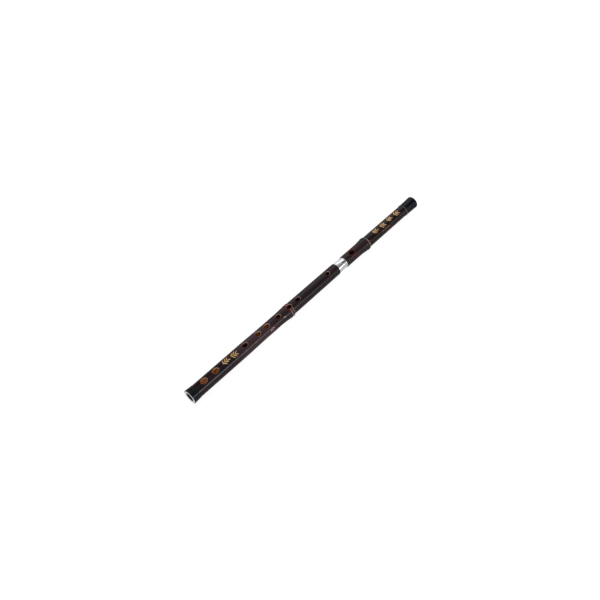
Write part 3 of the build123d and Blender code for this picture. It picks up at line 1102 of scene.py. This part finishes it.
def bamboo_finish(name, rings, red_share, violet, depth, bore_painted_light, cut_tones, marks):
    """Dark stained bamboo.

    rings are (place, half width, strength) of bare rings at a node. red_share, violet, depth
    and bore_painted_light are functions of the finish: how red, how violet and how nearly black the
    stain is, and how much painted light falls in the bore and on the deep hole walls. cut_tones
    are the painted-lit deep and the outer colours of the drilled walls.
    """
    f = Finish(name)
    fibres = f.noise(26.0, 2600.0, detail=4.0, roughness=0.6)
    veins = f.noise(9.0, 900.0, detail=2.0, shift=7.0)
    clouds = f.noise(38.0, 110.0, detail=4.0, shift=3.0)
    flecks = f.noise(420.0, 2400.0, detail=3.0, shift=11.0)
    warm = ((clouds - 0.40) * 2.6 + (veins - 0.5) * 1.2).clamped()
    patches = (f.noise(22.0, 85.0, detail=3.0, shift=19.0) - 0.55) * 5.0
    red = (patches + red_share(f)).clamped() * (fibres * 0.9 + 0.3)
    skin = f.colour(warm, STAIN_BLACK, STAIN_BROWN)
    skin = f.colour(violet(f), skin, STAIN_VIOLET)
    skin = f.colour(depth(f), skin, STAIN_DEEPEST)
    skin = f.colour(red, skin, STAIN_RED)
    skin = f.colour((fibres - 0.56).ramp(0.0, 0.25) * 0.30, skin, FIBRE)
    bare = flecks.ramp(0.74, 0.80) * 0.20
    patchy = (f.noise(60.0, 420.0, detail=3.0, shift=5.0) * 2.2 - 0.35).clamped()
    wobble = (f.noise(1.0, 160.0, detail=2.0, shift=40.0) - 0.5) * 0.0009
    for place, width, strength in rings:
        bare = bare + (f.x - place + wobble).bell(0.0, width) * patchy * strength
    # pale marks: partly nicks in the lacquer, partly painted glints
    for mark in marks:
        bare = bare + nick_and_glint(f, *mark)
    cut = f.attribute("cut").clamped()
    lining = f.attribute("lining").clamped()
    outer = f.attribute("growth").ramp(0.60, 0.96)
    grain = f.noise(30.0, 5200.0, detail=3.0, shift=2.0)
    straw = f.colour(grain, STRAW, STRAW_PALE)
    # painted light: this mask paints the bore and the deep part of the hole walls lit near the
    # lower holes and in shade elsewhere
    light = bore_painted_light(f).clamped()
    deep = f.colour(light, WALL_PAINTED_SHADE, cut_tones[0])
    wall = f.colour(outer, deep, f.colour(grain, *cut_tones[1]))
    bore_streaks = f.noise(40.0, 500.0, detail=3.0, shift=23.0) * 0.4 + 0.75
    bore = f.colour((light * bore_streaks).clamped(), BORE_DARK, BORE_PAINTED_LIGHT)
    # painted shade: the bore is painted nearly black just inside the foot's and the head's open
    # ends
    past_mouth_shade = f.x.ramp(0.010, 0.028) * (1 - f.x.ramp(head_end - 0.05, head_end - 0.01))
    bore = f.colour(past_mouth_shade, MOUTH_PAINTED_SHADE, bore)
    colour = f.colour(bare.clamped(), skin, straw)
    colour = f.colour(cut, colour, wall)
    colour = f.colour(lining, colour, bore)
    worn_and_glint = (bare + cut).clamped()
    return f.done(
        Base_Color=colour,
        Roughness=0.30 + fibres * 0.12 + worn_and_glint * 0.2,
        Specular_IOR_Level=0.0,
        Coat_Weight=(1 - worn_and_glint * 0.7) * 0.24,
        Coat_Roughness=0.20,
        Coat_IOR=1.5,
        Normal=f.bump(fibres * 0.6 + veins * 0.4 - worn_and_glint * 0.5, 0.00005, 0.3),
    )


def nick_and_glint(f, start, end, width, strength):
    """How much of a straight pale mark covers a point, for nicks and painted glints.
    Ends are (x, degrees from straight up).
    """
    radius = bore_r + SKIN_REACH
    first, last = math.radians(start[1]) * radius, math.radians(end[1]) * radius
    along = Vector((end[0] - start[0], last - first))
    x = f.x - start[0]
    arc = f.angle() * radius - first
    share = ((x * along.x + arc * along.y) / along.length_squared).clamped()
    dx, da = x - share * along.x, arc - share * along.y
    away = (dx * dx + da * da).root()
    ragged = (f.noise(700.0, 700.0, detail=2.0, shift=31.0) - 0.5) * width * 0.8
    return (1 - (away + ragged).ramp(width * 0.4, width)) * strength


def body_red(f):
    """Red shows between the pitch and finger holes, and above all round the node's top."""
    node = f.x.bell(body_node_x + 2 * MM, 7 * MM) * (f.z / stock_r).ramp(0.55, 0.98)
    return f.x.bell(0.105, 0.03) * 0.35 + node * 1.5 - 0.15


def body_violet(f):
    """The stain is thinnest below the finger holes."""
    thin = f.x.ramp(0.095, 0.12) * (1 - f.x.ramp(0.165, 0.20))
    return thin * 0.7 + f.x.ramp(0.12, 0.2) * 0.25 - f.x.ramp(0.225, 0.235) * 0.08


def body_bore_painted_light(f):
    """Painted light: the bore and the deep hole walls are painted lit near the lower holes and
    again round 0.17 m, and in painted shade further up.
    """
    foot = f.x.ramp(0.018, 0.034) * (1 - f.x.ramp(0.095, 0.12))
    return foot + f.x.bell(0.172, 0.034) * 0.65


body_finish = bamboo_finish(
    body_lacquer.name,
    rings=[(body_node_x + 1.6 * MM, 0.6 * MM, 0.62), (body_node_x + 6.6 * MM, 0.6 * MM, 0.66)],
    red_share=body_red,
    violet=body_violet,
    depth=lambda f: f.x.ramp(0.236, 0.246) * 0.35,
    bore_painted_light=body_bore_painted_light,
    cut_tones=(CUT_DEEP_PAINTED_LIGHT, (STRAW, STRAW_PALE)),
    marks=[
        # the hooked mark is a nick whose pale edge also carries a painted glint; the short one at
        # 0.212 m lies on the highlight line and is a painted glint
        ((0.1775, 56), (0.1835, 47), 0.42 * MM, 0.75),
        ((0.1835, 47), (0.1880, 56), 0.42 * MM, 0.75),
        ((0.1785, 66), (0.1850, 60), 0.40 * MM, 0.65),
        ((0.2120, 45), (0.2165, 46), 0.55 * MM, 0.80),
    ],
)


def head_red(f):
    return f.x.bell(0.405, 0.014) * 0.7 + f.x.ramp(0.45, 0.5) * 0.25 - 0.1


head_finish = bamboo_finish(
    head_lacquer.name,
    rings=[(head_node_x + 4.6 * MM, 0.8 * MM, 1.0)],
    red_share=head_red,
    violet=lambda f: (1 - f.x.ramp(0.44, 0.452)) * 0.10,
    depth=lambda f: f.x.ramp(0.446, 0.452) * (1 - f.x.ramp(0.475, 0.53) * 0.6) * 0.9,
    # only a little painted light in the head's bore
    bore_painted_light=lambda f: f.x * 0.2,
    cut_tones=((0.035, 0.006, 0.003), ((0.030, 0.006, 0.004), (0.045, 0.010, 0.006))),
    # painted highlight: a pale line along the lacquer's highlight on the head
    marks=[((0.4900, 49), (0.5130, 50), 0.26 * MM, 0.40)],
)
print("bamboo finishes:", body_finish.name, head_finish.name)

# %% [markdown]
# Polished horn is almost black with cloudy, slightly brown streaks along it. Nickel silver is
# paler and warmer than chrome, and the lathe left fine rings across it, a tenth of a millimetre
# apart. They show as a softened, stretched highlight, so they go into the bump and the roughness.

# %% Horn, nickel silver, cork and gold
HORN_BLACK = (0.0012, 0.0024, 0.0044)
HORN_STREAK = (0.006, 0.006, 0.009)
HORN_CLOUD = (0.007, 0.005, 0.005)
SLEEVE_EDGE_HIGHLIGHT = (0.30, 0.29, 0.27)


def horn_finish(name, highlight_line, gloss):
    """Black horn. highlight_line is where a thin pale line is painted along the sleeve's edge next
    to the bamboo: a painted highlight.
    """
    f = Finish(name)
    streaks = f.noise(35.0, 650.0, detail=4.0)
    clouds = f.noise(90.0, 120.0, detail=3.0, shift=4.0)
    tone = f.colour((streaks - 0.45).ramp(0.0, 0.3) * 0.6, HORN_BLACK, HORN_STREAK)
    tone = f.colour(clouds.ramp(0.6, 0.8) * 0.4, tone, HORN_CLOUD)
    polish = f.noise(900.0, 160.0, detail=2.0, shift=9.0)
    broken = (f.noise(50.0, 300.0, shift=15.0) * 2.0 - 0.3).clamped()
    # painted highlight: a thin, broken pale line along the sleeve's edge
    painted_highlight = f.x.bell(highlight_line, 0.35 * MM) * broken
    tone = f.colour(painted_highlight * 0.55, tone, SLEEVE_EDGE_HIGHLIGHT)
    return f.done(
        Base_Color=tone,
        Roughness=0.30 + polish * 0.12,
        Specular_IOR_Level=0.0,
        Coat_Weight=polish * 0.04 + gloss,
        Coat_Roughness=0.17,
        Normal=f.bump(polish * 0.5 + streaks * 0.5, 0.00001, 0.3),
    )


TOOL_MARK = 0.22 * MM


def nickel_finish(name, tone, dullness):
    """Turned nickel silver with the lathe's rings, a few smudges and hairlines."""
    f = Finish(name)
    turns = (f.x * (math.tau / TOOL_MARK)).sine() * 0.5 + 0.5
    rings = turns * f.noise(9000.0, 30.0, detail=1.0)
    smudges = f.noise(120.0, 140.0, detail=4.0, shift=6.0)
    hairlines = f.noise(5200.0, 120.0, detail=3.0, shift=8.0)
    smudged, scratched = tuple(0.86 * c for c in tone), tuple(0.78 * c for c in tone)
    colour = f.colour(smudges.ramp(0.45, 0.75) * 0.35, tone, smudged)
    colour = f.colour((hairlines - 0.5).ramp(0.0, 0.3) * 0.25, colour, scratched)
    return f.done(
        Base_Color=colour,
        Metallic=1.0,
        Roughness=dullness + smudges * 0.10 + hairlines * 0.08,
        Normal=f.bump(rings + hairlines * 0.6, 0.000004, 0.35),
    )


def cork_finish():
    f = Finish("cut_cork")
    grain = f.noise(700.0, 700.0, detail=5.0, roughness=0.7)
    where = f.vector(f.x * 420.0, f.y * 420.0, f.z * 420.0)
    cells = f.add("ShaderNodeTexVoronoi", {"feature": "F1"}, {"Vector": where, "Scale": 1.0})
    pores = 1 - cells["Distance"].ramp(0.10, 0.30)
    tone = f.colour(grain, (0.46, 0.27, 0.13), (0.66, 0.44, 0.25))
    tone = f.colour(pores * 0.7, tone, (0.14, 0.065, 0.03))
    return f.done(Base_Color=tone, Roughness=0.82, Normal=f.bump(grain - pores * 0.8, 0.0003, 0.6))


def gold_finish():
    f = Finish("gold_paint")
    mottle = f.noise(260.0, 320.0, detail=4.0)
    brush = f.noise(1800.0, 3200.0, detail=3.0, shift=5.0)
    tone = f.colour(mottle.ramp(0.35, 0.7), (0.36, 0.17, 0.055), (0.48, 0.38, 0.16))
    tone = f.colour(brush.ramp(0.62, 0.8) * 0.5, tone, (0.16, 0.07, 0.03))
    return f.done(
        Base_Color=tone,
        Metallic=0.25,
        Roughness=0.42 + brush * 0.2,
        Normal=f.bump(brush, 0.00006, 0.6),
    )


foot_horn_finish = horn_finish("foot_horn", foot_sleeve_end + 1 * MM, 0.22)
head_horn_finish = horn_finish("head_horn", head_sleeve_start + 0.3 * MM, 0.16)
socket_nickel = nickel_finish("socket_nickel", (0.43, 0.425, 0.435), 0.045)
ring_nickel = nickel_finish("ring_nickel", (0.50, 0.50, 0.52), 0.16)
cut_cork = cork_finish()
gold_paint = gold_finish()
finishes = [foot_horn_finish, head_horn_finish, socket_nickel, ring_nickel, cut_cork, gold_paint]
print("finishes:", [finish.name for finish in finishes])

# %% Lay the leaves
LEAF_LENGTH, LEAF_WIDTH = 8.0 * MM, 1.55 * MM
STEM_LENGTH, STEM_WIDTH = 9.0 * MM, 0.8 * MM
FOOT_SPRAY_MARGIN, FOOT_SPRAY_STEP = 20.9 * MM, 18.2 * MM
HEAD_SPRAY_MARGIN, HEAD_SPRAY_STEP = 30.6 * MM, 21.7 * MM


def painted_leaves(name, bamboo, sprays, first, step):
    piece = bpy.data.objects.new(name, bpy.data.meshes.new(name))
    bpy.context.scene.collection.objects.link(piece)
    grown_mesh(
        piece,
        spray_tree,
        {
            "Bamboo": bamboo,
            "Paint": gold_paint,
            "Sprays": sprays,
            "First Spray": first,
            "Spray Step": step,
            "Leaf Length": LEAF_LENGTH,
            "Leaf Width": LEAF_WIDTH,
            "Stem Length": STEM_LENGTH,
            "Stem Width": STEM_WIDTH,
        },
    )
    piece.data.shade_smooth()
    piece.data.set_sharp_from_angle(angle=math.radians(50))
    print(name, len(piece.data.polygons), "faces")
    return piece


foot_spray_x = second_pitch_x + FOOT_SPRAY_MARGIN
head_spray_x = head_node_x + HEAD_SPRAY_MARGIN
foot_leaves = painted_leaves("foot_leaves", body_bamboo, 2, foot_spray_x, FOOT_SPRAY_STEP)
head_leaves = painted_leaves("head_leaves", head_bamboo, 4, head_spray_x, HEAD_SPRAY_STEP)

# %% [markdown]
# ## Hand the pieces to the frame
# Each visual piece rides on a body of the frame, stands for one CAD piece, and names the slot
# its finish belongs to. When the joint slides or turns, the piece goes with its body.

# %% Rides, stand-ins and slots
dressing = [
    (body_bamboo, "body", "body_tube", "bamboo", body_finish),
    (foot_horn, "body", "foot_sleeve", "horn", foot_horn_finish),
    (foot_ring, "body", "foot_lip_ring", "nickel_silver", ring_nickel),
    (socket_band, "body", "socket_sleeve", "nickel_silver", socket_nickel),
    (foot_leaves, "body", "foot_leaf_paint", "gold_paint", gold_paint),
    (tenon_sleeve, "tenon", "tenon_sheath", "nickel_silver", socket_nickel),
    (head_bamboo, "head", "head_tube", "bamboo", head_finish),
    (head_horn, "head", "head_sleeve", "horn", head_horn_finish),
    (head_ring, "head", "head_lip_ring", "nickel_silver", ring_nickel),
    (head_leaves, "head", "head_leaf_paint", "gold_paint", gold_paint),
    (cork_plug, "stopper", "head_stopper", "cork", cut_cork),
]
for piece, body, node, slot, finish in dressing:
    piece.data.materials.clear()
    piece.data.materials.append(finish)
    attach(piece, body)
    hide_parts(node)
    print(f"{piece.name:14s} rides on {body:8s} for {node}, {len(piece.data.polygons)} faces")

# %% [markdown]
# ## A small studio
# The flute lies on plain white paper under a bright, even tent. Two long, narrow lamps low on the
# player's side draw the thin highlight along the lacquer, and a wide one lights the far side. A
# dark card above the lens gives the polished metal something black to reflect, and two flags
# keep the wide lamp and the tent out of the polish at the foot and the head, as a photographer
# would do.

# %% Paper, lamps and cards
floor_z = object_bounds()[0].z - 0.0002
bpy.ops.mesh.primitive_plane_add(size=80.0, location=(0.3, 0.0, floor_z))
paper = bpy.context.active_object
paper.name = "paper"
paper_finish = Finish("white_paper")
fine = paper_finish.noise(400.0, 400.0, detail=2.0)
paper.data.materials.append(
    paper_finish.done(
        Base_Color=paper_finish.colour(fine, (0.17, 0.17, 0.17), (0.16, 0.16, 0.16)),
        Roughness=0.75,
        Specular_IOR_Level=0.2,
        Emission_Color=(1.0, 1.0, 1.0, 1.0),
        Emission_Strength=0.87,
    )
)

tent = bpy.data.worlds.new("tent")
tent.use_nodes = True
tent.node_tree.nodes["Background"].inputs["Color"].default_value = (0.98, 0.98, 1.0, 1.0)
tent.node_tree.nodes["Background"].inputs["Strength"].default_value = 0.88
bpy.context.scene.world = tent
bpy.context.scene.view_settings.view_transform = "Standard"


def aimed(item, place, target):
    """Put a lamp, card or camera in place and point its -Z at the target."""
    item.location = place
    item.rotation_euler = (Vector(target) - Vector(place)).to_track_quat("-Z", "Y").to_euler()
    return item


def lamp(name, place, target, size, power, tint=(1.0, 1.0, 1.0)):
    data = bpy.data.lights.new(name, "AREA")
    data.shape = "RECTANGLE"
    data.size, data.size_y = size
    data.energy = power
    data.color = tint
    item = bpy.data.objects.new(name, data)
    bpy.context.scene.collection.objects.link(item)
    return aimed(item, place, target)


# angles are from straight up, turning towards the player's side, -Y
def round_the_flute(angle_degrees, distance, x):
    angle = math.radians(angle_degrees)
    return Vector((x, -distance * math.sin(angle), distance * math.cos(angle)))


COOL = (0.97, 0.97, 1.0)
lamp("line_lamp", round_the_flute(66, 1.3, 1.25), (1.25, 0, 0), (1.5, 0.09), 5.0)
lamp("foot_lamp", round_the_flute(66, 1.3, 0.42), (0.42, 0, 0), (0.95, 0.09), 11.0)
lamp("side_lamp", round_the_flute(-52, 1.5, 0.9), (0.4, 0, 0), (3.4, 1.5), 24.0, COOL)

card_finish = Finish("black_card")
card_grain = card_finish.noise(50.0, 50.0)
black_card = card_finish.done(
    Base_Color=card_finish.colour(card_grain, (0.01, 0.01, 0.01), (0.02, 0.02, 0.02)),
    Roughness=0.9,
)


def dark_card(name, angle_degrees, distance, x, size):
    """A black card that faces the bore. Polished surfaces reflect it; the camera can't see it."""
    bpy.ops.mesh.primitive_plane_add(size=1.0)
    card = bpy.context.active_object
    card.name = name
    card.scale = (*size, 1.0)
    card.data.materials.append(black_card)
    card.visible_camera = False
    return aimed(card, round_the_flute(angle_degrees, distance, x), (x, 0, 0))


dark_card("band_card", 23, 1.15, 1.0, (3.4, 0.26))
foot_flag = dark_card("foot_flag", -50, 1.2, 0.05, (0.85, 1.3))
head_flag = dark_card("head_flag", 10, 1.15, 1.88, (1.2, 0.8))
for flag in (foot_flag, head_flag):  # seen in the polish only, so the paper stays white
    flag.visible_diffuse = flag.visible_shadow = False

# %% Camera
CAMERA_PLACE = Vector((-0.229, -0.417, 0.914))
AIM = Vector((0.2634, 0.0, 0.0))
FLUTE_SLOPE = math.radians(41.23)
LENS = 37.4
FRAME_SHIFT = (-0.0005, 0.0006)

camera_data = bpy.data.cameras.new("camera")
camera_data.lens = LENS
camera_data.sensor_width = 36.0
camera_data.shift_x, camera_data.shift_y = FRAME_SHIFT
camera = bpy.data.objects.new("camera", camera_data)
bpy.context.scene.collection.objects.link(camera)
back = (CAMERA_PLACE - AIM).normalized()
along = (Vector((1, 0, 0)) - back * back.x).normalized()
right = along * math.cos(FLUTE_SLOPE) - back.cross(along) * math.sin(FLUTE_SLOPE)
up = back.cross(right)
camera.matrix_world = Matrix([
    (right.x, up.x, back.x, CAMERA_PLACE.x),
    (right.y, up.y, back.y, CAMERA_PLACE.y),
    (right.z, up.z, back.z, CAMERA_PLACE.z),
    (0.0, 0.0, 0.0, 1.0),
])
bpy.context.scene.camera = camera
print("camera", tuple(round(c, 3) for c in camera.location))
